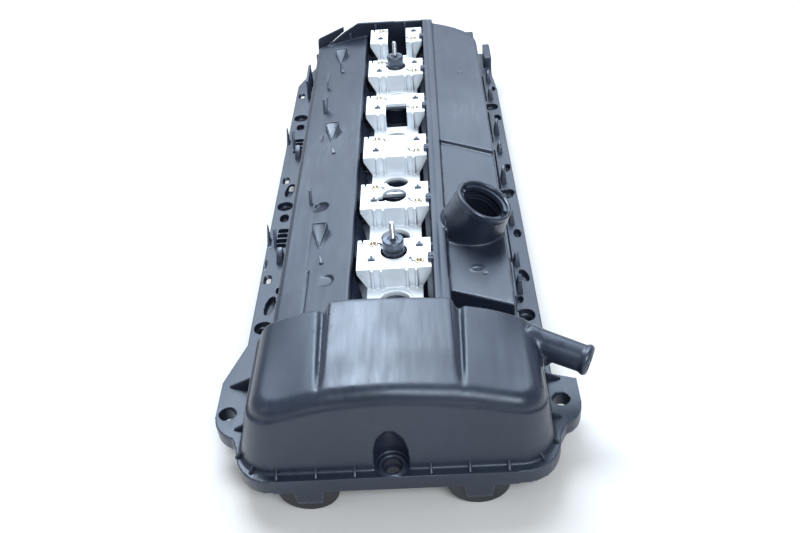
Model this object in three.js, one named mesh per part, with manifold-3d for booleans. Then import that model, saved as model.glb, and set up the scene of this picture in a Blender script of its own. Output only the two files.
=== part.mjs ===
// Moulded plastic cam cover for the cylinder head of an in-line six, with its seals,
// six coil plates, threaded inserts and trim-cover studs. Millimetres, +Z up.
// Drawing axes: x runs across from the cover's middle to the oil filler side, y runs
// back from the front lip, z runs up from the flange's underside. The group at the end
// shifts them so that the origin is the bottom centre of the whole part.

import * as THREE from 'three';
import * as BufferGeometryUtils from 'three/addons/utils/BufferGeometryUtils.js';
import Module from 'manifold-3d';

const wasm = await Module();
wasm.setup();

// ---- driving dimensions ----

const borePitch = 91;
const unitCount = 6;
const wall = 3.5;
const gap = 0.3;

const flangeTop = 14;
const flangeHalf = 128;
const flangeRear = 704;
const openingHalf = 102.5;
const openingFront = 12.5;
const openingRear = 685;

const galleryFront = 104;
const galleryRear = 690;
const leftCrest = 56;
const leftShoulder = 44;
const rightCrest = 68;
const boxTop = 71;
const railTop = 74;
const rearWallTop = 75;

const valleyLeft = -34;
const valleyRight = 38;
const valleyFloor = 25;
const floorUnderside = 21;

const domeLeft = -117.5;
const domeRight = 123.5;
const domeFront = 7.4;
const domeRear = 111;
const domeCrease = 87;
const domeCrown = 98;
const domeShoulder = 73;

const plateMiddle = 4;
const plateWidth = 65;
const plateDepth = 42.5;
const plateTop = 70;
const plateThickness = 4;
const ledgeTop = 49;
const ledgeWidth = 49;
const ledgeLength = 36.5;
const firstPlateFront = 176;
const wellAhead = 20;
const wellRadius = 13;

const boltX = 117;
const boltRows = [171, 362, 553];
const boltRadius = 6;
const boltWellRadius = 8;
const earX = 133.5;
const earY = 70;
const earHoleRadius = 6.8;
const frontBoltY = 11;
const frontBoltRadius = 5.8;

const lobeX = 64;
const lobeRadius = 23.5;
const sealDrop = 1.5;

const studRadius = 2.5;
const studTop = 100.5;
const spacerRadius = 9.5;
const spacerTop = 83;
const spacerBore = 2.9;

// ---- shape helpers ----

const vec = (x, y, z) => new THREE.Vector3(x, y, z);
const plateFront = (unit) => firstPlateFront + unit * borePitch;
const wellY = (unit) => plateFront(unit) - wellAhead;
const units = Array.from({ length: unitCount }, (_, unit) => unit);

function solid(geometry) {
  const bare = geometry.index ? geometry.toNonIndexed() : geometry.clone();
  bare.deleteAttribute('normal');
  bare.deleteAttribute('uv');
  const merged = BufferGeometryUtils.mergeVertices(bare, 1e-4);
  return new wasm.Manifold(new wasm.Mesh({
    numProp: 3,
    vertProperties: new Float32Array(merged.attributes.position.array),
    triVerts: new Uint32Array(merged.index.array),
  }));
}

const union = (solids) => solids.reduce((sum, next) => sum.add(next));
const cut = (body, tools) => tools.reduce((left, tool) => left.subtract(tool), body);

function shapeOf(points) {
  return new THREE.Shape(points.map(([u, v]) => new THREE.Vector2(u, v)));
}

// A plan outline in (x, y), standing from z0 to z1.
function prism(shape, z0, z1, curveSegments = 8) {
  const geometry = new THREE.ExtrudeGeometry(shape, { depth: z1 - z0, bevelEnabled: false, curveSegments });
  return solid(geometry.translate(0, 0, z0));
}

// A cross section in (x, z), running from y0 to y1.
function alongY(points, y0, y1) {
  const geometry = new THREE.ExtrudeGeometry(shapeOf(points), { depth: y1 - y0, bevelEnabled: false });
  return solid(geometry.rotateX(Math.PI / 2).translate(0, y1, 0));
}

// A side profile in (y, z), running from x0 to x1.
function alongX(points, x0, x1) {
  const geometry = new THREE.ExtrudeGeometry(shapeOf(points), { depth: x1 - x0, bevelEnabled: false });
  const turn = new THREE.Matrix4().makeBasis(vec(0, 1, 0), vec(0, 0, 1), vec(1, 0, 0));
  return solid(geometry.applyMatrix4(turn).translate(x0, 0, 0));
}

function block(x0, x1, y0, y1, z0, z1) {
  const geometry = new THREE.BoxGeometry(x1 - x0, y1 - y0, z1 - z0);
  return solid(geometry.translate((x0 + x1) / 2, (y0 + y1) / 2, (z0 + z1) / 2));
}

function upright(x, y, z0, z1, radius, sides = 20) {
  const geometry = new THREE.CylinderGeometry(radius, radius, z1 - z0, sides);
  return solid(geometry.rotateX(Math.PI / 2).translate(x, y, (z0 + z1) / 2));
}

// A round bar or cone between two points.
function bar(from, to, radiusFrom, radiusTo = radiusFrom, sides = 24) {
  const along = to.clone().sub(from);
  const geometry = new THREE.CylinderGeometry(radiusTo, radiusFrom, along.length(), sides);
  const turn = new THREE.Quaternion().setFromUnitVectors(vec(0, 1, 0), along.clone().normalize());
  const middle = from.clone().add(to).multiplyScalar(0.5);
  return solid(geometry.applyQuaternion(turn).translate(middle.x, middle.y, middle.z));
}

// A closed skin through rings with the same number of points, with a fan over each end.
function loft(rings) {
  const count = rings[0].length;
  const points = rings.flat();
  const faces = [];
  for (let ring = 0; ring + 1 < rings.length; ring += 1) {
    for (let i = 0; i < count; i += 1) {
      const next = (i + 1) % count;
      const low = ring * count;
      const high = low + count;
      faces.push(low + i, low + next, high + next, low + i, high + next, high + i);
    }
  }
  const middleOf = (ring) => ring.reduce((sum, p) => sum.add(p), vec(0, 0, 0)).divideScalar(count);
  const first = points.push(middleOf(rings[0])) - 1;
  const last = points.push(middleOf(rings[rings.length - 1])) - 1;
  const top = (rings.length - 1) * count;
  for (let i = 0; i < count; i += 1) {
    const next = (i + 1) % count;
    faces.push(first, next, i, last, top + i, top + next);
  }
  const geometry = new THREE.BufferGeometry().setFromPoints(points);
  geometry.setIndex(faces);
  return solid(geometry);
}

// The points of a rectangle with rounded corners, anticlockwise from the front left.
function roundedRectangle(x0, x1, y0, y1, frontRadius, rearRadius, steps = 6) {
  const corners = [
    [x0 + frontRadius, y0 + frontRadius, frontRadius, Math.PI],
    [x1 - frontRadius, y0 + frontRadius, frontRadius, 1.5 * Math.PI],
    [x1 - rearRadius, y1 - rearRadius, rearRadius, 0],
    [x0 + rearRadius, y1 - rearRadius, rearRadius, 0.5 * Math.PI],
  ];
  const points = [];
  for (const [cx, cy, radius, start] of corners) {
    for (let i = 0; i <= steps; i += 1) {
      const angle = start + (i / steps) * (Math.PI / 2);
      points.push([cx + radius * Math.cos(angle), cy + radius * Math.sin(angle)]);
    }
  }
  return points;
}

// ---- cover shell ----

function flangeOutline() {
  const front = 34;
  const shape = new THREE.Shape();
  shape.moveTo(-flangeHalf + front + 4, 0);
  shape.lineTo(flangeHalf - front, 0);
  shape.quadraticCurveTo(flangeHalf - 3, 0, flangeHalf + 1, 34);
  shape.lineTo(134, 44);
  shape.quadraticCurveTo(148, 50, 149, 66);
  shape.lineTo(149, 92);
  shape.lineTo(flangeHalf + 2, 98);
  shape.lineTo(flangeHalf, 600);
  shape.lineTo(125, 640);
  shape.lineTo(127, flangeRear - 16);
  shape.quadraticCurveTo(126, flangeRear, 108, flangeRear);
  shape.lineTo(-104, flangeRear);
  shape.lineTo(-flangeHalf, 640);
  shape.lineTo(-flangeHalf, 150);
  shape.lineTo(-143, 106);
  shape.lineTo(-143, 66);
  shape.quadraticCurveTo(-141, 50, -126, 44);
  shape.lineTo(-122, 34);
  shape.quadraticCurveTo(-117, 0, -flangeHalf + front + 4, 0);
  return shape;
}

// The flange's inner opening, grown outwards. It bends in round the front bolt.
function openingPrism(grow, z0, z1) {
  const outline = roundedRectangle(
    -openingHalf - grow, openingHalf + grow, openingFront - grow, openingRear + grow, 26 + grow, 20 + grow,
  );
  const bend = 19 - grow;
  return prism(shapeOf(outline), z0, z1).subtract(upright(0, frontBoltY, z0 - 1, z1 + 1, bend, 28));
}

// The dome's walls lean in slightly; inset moves them inwards for the cavity.
function domeWalls(inset, z0, z1) {
  const ringAt = (z) => {
    const rise = z - flangeTop;
    const outline = roundedRectangle(
      domeLeft + 0.25 * rise + inset, domeRight - 0.14 * rise - inset,
      domeFront + 0.1 * rise + inset, domeRear - 0.05 * rise - inset, 28, 9,
    );
    return outline.map(([x, y]) => vec(x, y, z));
  };
  return loft([ringAt(z0), ringAt(z1)]);
}

// The roof beside the raised middle, from left to right: x, height at the front crease and
// height at the rear edge.
const roofLine = [
  [-140, 64, 60], [-104, 72.5, domeShoulder], [-75, 77, 84], [-50, 84.5, 90.2],
  [56, 83, 87.2], [82, 76, 80.5], [112, 70.5, 66], [140, 66, 56],
];

function domeRoof(drop) {
  const sectionAt = (y) => {
    const back = (y - 16) / (107 - 16);
    const line = roofLine.map(([x, front, rear]) => vec(x, y, front + (rear - front) * back - drop));
    return [vec(-140, y, 0), vec(140, y, 0), ...line.reverse()];
  };
  return loft([sectionAt(130), sectionAt(0)]);
}

// The raised middle of the roof, a wedge that starts at the crease.
function domeCrest(drop) {
  const sectionAt = (y) => {
    const back = (y - 16) / (107 - 16);
    const top = domeCrease + (domeCrown - domeCrease) * back - drop;
    const points = [[-50, 40], [53, 40], [50, top - 1.5], [4, top], [-44, top - 1]];
    return points.map(([x, z]) => vec(x, y, z));
  };
  return loft([sectionAt(130), sectionAt(0)]);
}

const dome = (inset, z0) => domeWalls(inset, z0, 110).intersect(domeRoof(inset).add(domeCrest(inset)));

// A pocket for the front bolt, with a round head.
function frontAlcove(radius) {
  const head = solid(new THREE.SphereGeometry(radius, 20, 10).translate(0, frontBoltY, 34));
  return upright(0, frontBoltY, flangeTop, 34, radius, 20).add(head);
}

const leftGallery = () => alongY([
  [-107, 0], [valleyLeft, 0], [valleyLeft, leftCrest - 2], [valleyLeft - 2, leftCrest],
  [-97, leftShoulder], [-101, leftShoulder - 3], [-107, flangeTop],
], galleryFront, galleryRear);

// The right-hand box starts behind a front edge that runs back towards the valley.
const boxFront = (inset) => prism(shapeOf([
  [50 + inset, 155.5 + inset], [104 - inset, 132.7 + inset], [104 - inset, 700], [50 + inset, 700],
]), 0, 90);

const rightGallery = () => union([
  block(valleyRight, 107, galleryFront, galleryRear, 0, 34),
  alongX([[120, 0], [120, 59], [375, rightCrest], [galleryRear, rightCrest - 16], [galleryRear, 0]], 50, 104)
    .intersect(boxFront(0)),
  alongY([[valleyRight, 0], [51, 0], [51, railTop - 2], [valleyRight, railTop]], galleryFront, galleryRear),
]);

function separatorBoxOutline(inset) {
  const shape = new THREE.Shape();
  shape.moveTo(50 + inset, 385 + inset);
  shape.lineTo(104 - inset, 355 + inset);
  shape.lineTo(104 - inset, 612);
  shape.quadraticCurveTo(104 - inset, 655 - inset, 50 + inset, 683 - inset);
  return shape;
}

const rearWall = () => alongY([
  [-106, flangeTop], [50, flangeTop], [50, rearWallTop - 2], [-45, rearWallTop], [-64, 64], [-106, 33],
], galleryRear - 3, galleryRear);

function galleryCavity() {
  const left = alongY([
    [-openingHalf, -1], [valleyLeft - wall, -1], [valleyLeft - wall, leftCrest - wall - 1],
    [-94, leftShoulder - wall], [-openingHalf, flangeTop],
  ], 96, openingRear);
  const middle = block(valleyLeft - wall - 1, valleyRight + wall + 1, 96, openingRear, -1, floorUnderside);
  const right = block(valleyRight + wall, openingHalf, 96, openingRear, -1, 34 - wall);
  const roofed = alongX([
    [120, 20], [120, 59 - wall], [375, rightCrest - wall],
    [openingRear, rightCrest - wall - 16], [openingRear, 20],
  ], 50 + wall, 104 - wall).intersect(boxFront(wall + 1));
  const box = prism(separatorBoxOutline(wall), 40, boxTop - wall);
  return union([left, middle, right, roofed, box]);
}

const wellTowers = () => union(units.map((unit) => (
  upright(plateMiddle, wellY(unit), 2.5, ledgeTop - plateThickness - gap, 18.5, 20)
)));

const wellBores = () => units.map((unit) => upright(plateMiddle, wellY(unit), -1, 60, wellRadius, 20));

// Where each plate's two inserts and two stakes stand, from the plate's middle and front.
const insertSpots = [[-18.5, 36.5], [22, 10]];
const stakeSpots = [[-19.5, 14], [22.5, 32]];
const insertRadius = 4;
const insertBottom = 58;

const plateUnderside = plateTop - plateThickness;

const insertBosses = () => union(units.flatMap((unit) => insertSpots.map(([x, y]) => (
  upright(plateMiddle + x, plateFront(unit) + y, floorUnderside + 1, plateUnderside - gap, 6, 12)
))));

const insertSockets = () => units.flatMap((unit) => insertSpots.map(([x, y]) => (
  upright(plateMiddle + x, plateFront(unit) + y, insertBottom - 1, 80, insertRadius + gap, 12)
)));

const stakes = () => union(units.flatMap((unit) => stakeSpots.map(([x, y]) => {
  const column = upright(plateMiddle + x, plateFront(unit) + y, floorUnderside + 1, plateUnderside - gap, 4, 8);
  return column.add(upright(plateMiddle + x, plateFront(unit) + y, 60, plateTop + 0.8, 1.9, 8));
})));

// A finger on the right rail reaches over the edge of each plate.
const plateFingers = () => union(units.map((unit) => (
  block(33.5, valleyRight + 2, plateFront(unit) + 11, plateFront(unit) + 17, plateTop + gap, plateTop + 3.5)
)));

// Beside each plug well a web slopes from the left panel's edge down to the plate's ledge.
const valleyWebs = () => union(units.map((unit) => {
  const front = plateFront(unit);
  const outline = [
    [valleyLeft - 2, front - 46], [-22.3, front - 46], [-22.3, front - 18], [-24, front - 6], [-28, front + 9],
    [valleyLeft, front + 22], [valleyLeft - 2, front + 22],
  ];
  const topAt = (x) => 51 - 1.2 * (x - valleyLeft);
  return loft([
    outline.map(([x, y]) => vec(x, y, floorUnderside + 1)),
    outline.map(([x, y]) => vec(x, y, topAt(x))),
  ]);
}));

const neckBase = vec(71, 245, 52);
const neckRim = vec(86.3, 231.2, 98);
const rimFacing = vec(0.43, -0.06, 0.9).normalize();
const neckBore = 21;

// A leaning cone, cut off where the cap's seal lies.
function fillerNeck() {
  const above = bar(neckRim, neckRim.clone().addScaledVector(rimFacing, 30), 60, 60, 12);
  return bar(neckBase, beyond(neckBase, neckRim, 10), 31, 24.3, 32).subtract(above);
}

const breatherRoot = vec(108, 95.3, 57.5);
const breatherEnd = vec(154.8, 73, 51);
const breatherRadius = 11.5;
const breatherBore = 9;
const breatherPort = 6;

function breatherBead() {
  const back = breatherRoot.clone().sub(breatherEnd).normalize();
  return bar(breatherEnd.clone().addScaledVector(back, 5), breatherEnd, 12.6, 12.6);
}

const beyond = (from, to, by) => to.clone().add(to.clone().sub(from).normalize().multiplyScalar(by));

// Triangular cable guides stand in a row on the left panel.
const cableGuides = () => union([246, 438, 629].map((y) => {
  const ring = (z, shrink) => [
    vec(-75 + shrink, y + 20, z), vec(-67, y - 11 + 4 * shrink, z), vec(-60 - shrink, y + 20, z),
  ];
  return loft([ring(46, 0), ring(54, 1)]);
}));

// Upright fangs at the left edge hold a hose against the flange.
const hoseFangs = () => union([291, 486].map((y) => loft([
  [vec(-127.8, y - 2, 12), vec(-124.5, y - 2, 12), vec(-124.5, y + 11, 12), vec(-127.8, y + 11, 12)],
  [vec(-127.6, y + 16, 30), vec(-126.3, y + 16, 30), vec(-126.3, y + 18.5, 30), vec(-127.6, y + 18.5, 30)],
])));

// A lug stands on the rear right corner of the flange, and a bracket flag on a rib at the rear left.
const rearLug = () => block(116.5, 125.8, 656, 698, flangeTop - 1, 30);

const rearFlag = () => alongY([
  [-103.4, 31.6], [-65.8, 60.5], [-65.7, 67.3], [-98.7, 53.6], [-101.7, 51],
], 696, 698.5).add(block(-85.5, -82.5, galleryRear - 1, 698.5, flangeTop - 1, 47));

// Small gussets brace the dome's foot against the flange lip.
const domeGussets = () => union([-86, -57, -28, 29, 57, 86].map((x) => (
  alongX([[1.5, flangeTop - 1], [12, flangeTop - 1], [12, flangeTop + 6]], x - 1, x + 1)
)));

const sealTabs = () => union([-lobeX, lobeX].map((x) => (
  alongY([[x - 12, 1], [x + 12, 1], [x + 9.5, -13.5], [x - 9.5, -13.5]].reverse(), 0, 1.7)
)));

// Three slots on the left flange take cable clips, each over a pocket in its underside.
const slotRows = [238, 411, 610];
const clipSlots = () => slotRows.flatMap((y) => [
  block(-124, -118, y - 4.5, y + 4.5, -1, flangeTop + 1),
  block(-126, -112.5, y - 10, y + 16, -1, flangeTop - wall),
]);

function coverShell() {
  const outside = union([
    prism(flangeOutline(), 0, flangeTop),
    dome(0, 1),
    leftGallery(),
    rightGallery(),
    prism(separatorBoxOutline(0), 30, boxTop),
    block(valleyLeft - 1, valleyRight + 1, galleryFront, galleryRear, floorUnderside, valleyFloor),
    rearWall(),
    fillerNeck(),
    bar(breatherRoot, breatherEnd, breatherRadius),
    breatherBead(),
  ]);
  const rooms = union([openingPrism(0, -1, flangeTop), galleryCavity(), dome(wall, flangeTop - 2)]);
  const hollow = outside.subtract(rooms.subtract(frontAlcove(13 + wall)).subtract(
    upright(0, frontBoltY, -2, flangeTop, 19, 28),
  ));
  const built = union([hollow, wellTowers(), insertBosses(), stakes(), plateFingers(), cableGuides(),
    valleyWebs(), domeGussets(), sealTabs(), hoseFangs(), rearLug(), rearFlag()]);
  const boltHoles = [-boltX, boltX].flatMap((x) => boltRows.flatMap((y) => [
    upright(x, y, -1, 20, boltRadius, 12), upright(x, y, 8, 60, boltWellRadius, 16),
  ]));
  return cut(built, [
    ...wellBores(),
    ...insertSockets(),
    ...boltHoles,
    ...clipSlots(),
    frontAlcove(13),
    upright(0, frontBoltY, -1, 20, frontBoltRadius, 16),
    upright(0, frontBoltY, 4, 20, boltWellRadius, 20),
    upright(-earX, earY, -1, 20, earHoleRadius),
    upright(earX, earY, -1, 20, earHoleRadius),
    openingPrism(8, -1, 4).subtract(openingPrism(2, -2, 5)),
    bar(vec(70.3, 245.6, 50), beyond(neckBase, neckRim, 10), neckBore, neckBore, 28),
    bar(vec(112, 93.4, 57), beyond(breatherRoot, breatherEnd, 2), breatherBore),
    bar(vec(98, 98, 57), vec(114, 92.4, 56.7), breatherPort),
  ]);
}

// ---- seals and baffles ----

// The seal fills the groove and hangs in two half-moon lobes at the front.
function perimeterGasket() {
  const ring = openingPrism(8 - gap, -sealDrop, 4 - gap).subtract(openingPrism(2 + gap, -3, 5));
  const lobes = [-lobeX, lobeX].map((x) => {
    const disc = bar(vec(x, 2, 0), vec(x, 11, 0), lobeRadius, lobeRadius, 32);
    return disc.subtract(block(-140, 140, 0, 20, -gap, 40));
  });
  return union([ring, ...lobes]);
}

// One seal serves three plug wells.
function wellGasket(firstUnit) {
  const three = [firstUnit, firstUnit + 1, firstUnit + 2];
  const rings = three.map((unit) => upright(plateMiddle, wellY(unit), -sealDrop, 2.5 - gap, 18, 20));
  const strip = block(
    plateMiddle - 2.5, plateMiddle + 2.5, wellY(firstUnit), wellY(firstUnit + 2), -sealDrop, 2.5 - gap,
  );
  const bores = three.map((unit) => upright(plateMiddle, wellY(unit), -5, 5, wellRadius + 0.6, 20));
  return cut(union([...rings, strip]), bores);
}

const breatherBaffle = () => alongY([
  [30, 46], [99, 46], [99, 48.5], [32.5, 48.5], [32.5, 66], [30, 66],
], 34, 100);

const separatorBaffle = () => prism(shapeOf([[54.5, 392], [99.5, 368], [99.5, 610], [80, 640], [54.5, 652]]), 42, 44.5);

// ---- coil plates ----

const plateSide = (top, bottom) => {
  const wide = plateWidth / 2;
  const narrow = ledgeWidth / 2;
  const middle = plateMiddle;
  return [
    [middle - narrow, bottom], [middle + narrow, bottom], [middle + narrow, ledgeTop],
    [middle + wide, plateUnderside - 1], [middle + wide, top], [middle - wide, top],
    [middle - wide, plateUnderside - 1], [middle - narrow, ledgeTop],
  ];
};

// Deck, upright web and lower ledge in one step-shaped profile.
function plateBlank(front) {
  const step = alongX([
    [front - ledgeLength, ledgeTop - plateThickness], [front + plateThickness, ledgeTop - plateThickness],
    [front + plateThickness, plateUnderside], [front + plateDepth, plateUnderside],
    [front + plateDepth, plateTop], [front, plateTop], [front, ledgeTop], [front - ledgeLength, ledgeTop],
  ], plateMiddle - 40, plateMiddle + 40);
  return step.intersect(alongY(plateSide(plateTop + 1, 40), front - 60, front + 60));
}

const webRibs = (front) => union([-19, -11, 11, 19].map((x) => (
  block(plateMiddle + x - 1, plateMiddle + x + 1, front - 2, front + 1, ledgeTop - 1, plateTop - 1)
)));

const studOffset = 0;
const deckHole = (front, y, radius) => upright(plateMiddle + studOffset, front + y, 60, 80, radius, 20);
const deckWindow = (front, length) => (
  block(plateMiddle - 10.5, plateMiddle + 12.5, front - 5, front + length, ledgeTop + 1.5, 80)
);

// What each deck is opened for, from the front plate to the rear one.
const deckOpenings = [
  (front) => [deckHole(front, 25, 11.8)],
  (front) => [
    deckHole(front, 21, 11.5), upright(plateMiddle - 12, front + 16, 60, 80, 4.5, 16),
    upright(plateMiddle + 3, front + plateDepth + 3, 60, 80, 11, 24),
  ],
  () => [],
  (front) => [deckWindow(front, 21)],
  (front) => [deckHole(front, 25, 11.8)],
  (front) => [deckWindow(front, 60)],
];

function coilPlate(unit) {
  const front = plateFront(unit);
  const holes = [...insertSpots.map((spot) => [...spot, insertRadius + gap, 12]),
    ...stakeSpots.map((spot) => [...spot, 1.9 + gap, 8])];
  const drilled = holes.map(([x, y, radius, sides]) => (
    upright(plateMiddle + x, front + y, 60, 80, radius, sides)
  ));
  return cut(plateBlank(front).add(webRibs(front)), [
    ...drilled,
    upright(plateMiddle, front - wellAhead, 40, 55, wellRadius + 0.5, 20),
    ...deckOpenings[unit](front),
  ]);
}

function insert(unit, [x, y]) {
  const at = [plateMiddle + x, plateFront(unit) + y];
  return upright(...at, insertBottom, plateTop + 0.4, insertRadius, 12)
    .subtract(upright(...at, insertBottom - 1, plateTop + 2, 2.6, 10));
}

// ---- trim-cover studs ----

const studUnits = { front: 0, rear: 4 };
const studY = (unit) => plateFront(unit) + 25;
const stud = (unit) => upright(plateMiddle + studOffset, studY(unit), valleyFloor + gap, studTop, studRadius, 12);

const spacer = (unit) => {
  const at = [plateMiddle + studOffset, studY(unit)];
  return upright(...at, valleyFloor + gap, spacerTop, spacerRadius, 20)
    .subtract(upright(...at, valleyFloor - 1, spacerTop + 1, spacerBore, 12));
};

// ---- materials and nodes ----

const finish = (color, roughness, metalness) => new THREE.MeshStandardMaterial({ color, roughness, metalness });
const plastic = finish(0x23262c, 0.5, 0);
const rubber = finish(0x1b1c1e, 0.8, 0);
const aluminium = finish(0xd8dde0, 0.35, 1);
const brass = finish(0xc9a45a, 0.35, 1);
const steel = finish(0x9aa0a6, 0.3, 1);

const root = new THREE.Group();

function node(name, body, material) {
  const { vertProperties, triVerts } = body.getMesh();
  const geometry = new THREE.BufferGeometry();
  geometry.setAttribute('position', new THREE.BufferAttribute(vertProperties, 3));
  geometry.setIndex(new THREE.BufferAttribute(triVerts, 1));
  const mesh = new THREE.Mesh(geometry, material);
  mesh.name = name;
  root.add(mesh);
}

node('cover_shell', coverShell(), plastic);
node('perimeter_gasket', perimeterGasket(), rubber);
node('plug_well_gasket_front', wellGasket(0), rubber);
node('plug_well_gasket_rear', wellGasket(3), rubber);
node('breather_baffle', breatherBaffle(), plastic);
node('separator_baffle', separatorBaffle(), plastic);
for (const unit of units) {
  node(`coil_plate_${unit + 1}`, coilPlate(unit), aluminium);
  node(`insert_${unit + 1}_left`, insert(unit, insertSpots[0]), brass);
  node(`insert_${unit + 1}_right`, insert(unit, insertSpots[1]), brass);
}
for (const [place, unit] of Object.entries(studUnits)) {
  node(`trim_stud_${place}`, stud(unit), steel);
  node(`trim_spacer_${place}`, spacer(unit), steel);
}

const bounds = new THREE.Box3().setFromObject(root);
const middle = bounds.getCenter(new THREE.Vector3());
root.position.set(-middle.x, -middle.y, -bounds.min.z);

const group = new THREE.Group();
group.add(root);

export default group;
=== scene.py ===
"""Looks for a moulded cam cover with aluminium coil plates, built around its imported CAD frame."""

import math

import bmesh
import bpy
import numpy as np
from mathutils import Matrix, Vector


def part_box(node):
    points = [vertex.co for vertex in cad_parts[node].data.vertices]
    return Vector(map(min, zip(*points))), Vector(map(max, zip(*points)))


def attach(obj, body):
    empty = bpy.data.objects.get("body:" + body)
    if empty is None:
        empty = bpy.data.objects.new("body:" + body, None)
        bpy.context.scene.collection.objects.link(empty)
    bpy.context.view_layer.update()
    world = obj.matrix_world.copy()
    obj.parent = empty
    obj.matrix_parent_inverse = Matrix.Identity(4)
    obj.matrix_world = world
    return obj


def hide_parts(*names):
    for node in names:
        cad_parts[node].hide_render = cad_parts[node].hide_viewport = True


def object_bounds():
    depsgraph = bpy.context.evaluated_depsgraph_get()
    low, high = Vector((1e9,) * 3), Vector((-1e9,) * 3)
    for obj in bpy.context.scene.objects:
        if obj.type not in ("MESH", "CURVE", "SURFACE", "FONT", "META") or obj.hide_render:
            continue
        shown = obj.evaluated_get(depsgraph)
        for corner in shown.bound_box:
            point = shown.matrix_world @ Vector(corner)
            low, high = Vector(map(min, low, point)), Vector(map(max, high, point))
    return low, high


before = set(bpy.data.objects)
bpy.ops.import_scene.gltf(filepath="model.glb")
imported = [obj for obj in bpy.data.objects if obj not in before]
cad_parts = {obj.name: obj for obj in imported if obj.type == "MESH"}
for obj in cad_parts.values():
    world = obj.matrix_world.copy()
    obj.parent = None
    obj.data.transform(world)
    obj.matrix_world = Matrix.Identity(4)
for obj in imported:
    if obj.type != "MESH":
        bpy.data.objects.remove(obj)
cad_low, cad_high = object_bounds()

# ---- the drawing frame: millimetres from the front lip, the middle and the flange's underside ----

MM = 0.001
TINY = 1e-6  # metres kept free between the looks and the CAD box
PLATE_MIDDLE = 4.0
SEAL_TOP = 3.7
shell_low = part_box("cover_shell")[0]
plate_low, plate_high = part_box("coil_plate_1")
seal_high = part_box("perimeter_gasket")[1]
ORIGIN = Vector((
    (plate_low.x + plate_high.x) / 2 - PLATE_MIDDLE * MM,
    shell_low.y,
    seal_high.z - SEAL_TOP * MM,
))
PITCH = (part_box("coil_plate_6")[0].y - plate_low.y) / 5 / MM
PLATE_TOP = (plate_high.z - ORIGIN.z) / MM
PLATE_FRONT = 176.0
UNITS = range(6)

FLANGE_TOP = 14.0
WALL = 3.5
DOME_LEFT, DOME_RIGHT, DOME_FRONT, DOME_REAR = -117.5, 123.5, 7.4, 111.0
LEFT_LEAN, RIGHT_LEAN, FRONT_LEAN, REAR_LEAN = 0.25, 0.14, 0.1, 0.05
FRONT_BOLT_Y = 11
ALCOVE_RADIUS = 13
GUIDES = (246, 438, 629)
CLIP_SLOTS = (238, 411, 610)
GUSSET_THICKNESS = 2.2
CORNER_FOOT = 27
TRIM_BEVEL = 0.45
ELLIPSE_SIDES = 32

# Voxel sizes in millimetres, and the most triangles that a moulded piece keeps.
COVER_VOXEL, COVER_FACES = 1.0, 195000
PLATE_VOXEL, PLATE_FACES = 0.55, 30000
SEAL_VOXEL, SEAL_FACES = 0.8, 60000


# ---- mesh kit ----


def new_object(name, vertices, faces):
    mesh = bpy.data.meshes.new(name)
    mesh.from_pydata([tuple(v) for v in vertices], [], faces)
    mesh.update()
    piece = bpy.data.objects.new(name, mesh)
    bpy.context.scene.collection.objects.link(piece)
    return piece


def bake(piece):
    """Applies the modifiers."""
    graph = bpy.context.evaluated_depsgraph_get()
    mesh = bpy.data.meshes.new_from_object(piece.evaluated_get(graph))
    piece.modifiers.clear()
    piece.data = mesh
    return piece


def drop(piece):
    mesh = piece.data
    bpy.data.objects.remove(piece)
    bpy.data.meshes.remove(mesh)


def boolean(base, tools, operation):
    for tool in tools:
        modifier = base.modifiers.new("cut", "BOOLEAN")
        modifier.operation = operation
        modifier.solver = "MANIFOLD"
        modifier.object = tool
        bake(base)
        drop(tool)
    return base


def add(base, *tools):
    return boolean(base, tools, "UNION")


def cut(base, *tools):
    return boolean(base, tools, "DIFFERENCE")


def common(base, *tools):
    return boolean(base, tools, "INTERSECT")


def loft(rings):
    """A closed skin through rings of equal length, anticlockwise from the last ring's side."""
    count = len(rings[0])
    vertices = [p for ring in rings for p in ring]
    faces = [tuple(reversed(range(count)))]
    for low in range(0, (len(rings) - 1) * count, count):
        for i in range(count):
            j = (i + 1) % count
            faces.append((low + i, low + j, low + count + j, low + count + i))
    faces.append(tuple(range((len(rings) - 1) * count, len(rings) * count)))
    return new_object("loft", vertices, faces)


def prism(points, z0, z1):
    return loft([[(x, y, z) for x, y in points] for z in (z0, z1)])


def along_y(points, y0, y1):
    """A section in (x, z), anticlockwise, run along y."""
    return loft([[(x, y, z) for x, z in points] for y in (y1, y0)])


def along_x(points, x0, x1):
    """A section in (y, z), anticlockwise, run along x."""
    return loft([[(x, y, z) for y, z in points] for x in (x0, x1)])


def block(x0, x1, y0, y1, z0, z1):
    return prism([(x0, y0), (x1, y0), (x1, y1), (x0, y1)], z0, z1)


def joined(pieces):
    """One object from pieces that don't touch each other, or that only stand together."""
    vertices, faces = [], []
    for piece in pieces:
        start = len(vertices)
        vertices += [tuple(v.co) for v in piece.data.vertices]
        faces += [tuple(start + i for i in face.vertices) for face in piece.data.polygons]
        drop(piece)
    return new_object("joined", vertices, faces)


def bevelled(piece, width, segments=2):
    bevel = piece.modifiers.new("edges", "BEVEL")
    bevel.width = width
    bevel.segments = segments
    bevel.angle_limit = math.radians(35)
    return bake(piece)


def revolved(x, y, outline, sides=48):
    """A ring: outline is a closed list of (radius, height), anticlockwise, turned about x, y."""
    count = len(outline)
    vertices, faces = [], []
    for side in range(sides):
        angle = math.tau * side / sides
        vertices += [(x + r * math.cos(angle), y + r * math.sin(angle), z) for r, z in outline]
    for side in range(sides):
        low, high = side * count, (side + 1) % sides * count
        for i in range(count):
            j = (i + 1) % count
            faces.append((low + i, high + i, high + j, low + j))
    return new_object("ring", vertices, faces)


def circle(radius, sides):
    angles = [math.tau * i / sides for i in range(sides)]
    return [(radius * math.cos(a), radius * math.sin(a)) for a in angles]


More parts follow.
